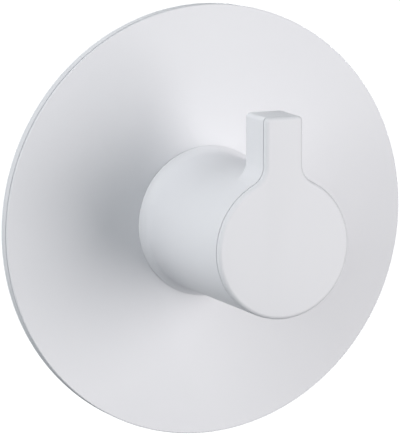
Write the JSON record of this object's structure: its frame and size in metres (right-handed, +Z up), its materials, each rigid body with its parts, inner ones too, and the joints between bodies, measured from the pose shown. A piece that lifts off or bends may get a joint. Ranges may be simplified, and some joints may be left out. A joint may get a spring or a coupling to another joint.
{
  "type": "wall hook",
  "caption": "Twist-lock suction wall hook: flat round cover disc over a suction cup, with a round stem that turns by an upright finger tab.",
  "frame": {"origin": "on the hook's axis, in the plane of the wall", "axes": "+Z up, +Y into the wall, so the hook's face looks towards -Y; +X to the right seen from the room"},
  "size_m": [0.085, 0.0365, 0.085],
  "materials": {
    "moulded_abs": "white ABS, moulded with a fine even texture",
    "soft_tpe": "soft white thermoplastic elastomer, smooth",
    "acetal": "natural acetal, moulded smooth",
    "pin_steel": "ground stainless steel"
  },
  "bodies": {
    "wall_base": {"cover_disc": "moulded_abs", "suction_cup": "soft_tpe", "thrust_washer": "acetal"},
    "knob": {"knob_body": "moulded_abs", "front_cap": "moulded_abs", "cam_ring": "acetal"},
    "stud": {"pull_stud": "acetal", "cross_pin": "pin_steel"}
  },
  "joints": [
    {"name": "knob_twist", "type": "hinge", "parent": "wall_base", "child": "knob", "pos_m": [0, 0, 0], "axis": [0, -1, 0], "range_deg": [0, 90]},
    {"name": "stud_draw", "type": "slide", "parent": "wall_base", "child": "stud", "axis": [0, 1, 0], "range_m": [0, 0.0022], "deforming": ["suction_cup"]}
  ],
  "couplings": [
    {"joint": "stud_draw", "follows": "knob_twist", "m_per_rad": 0.0014006}
  ]
}
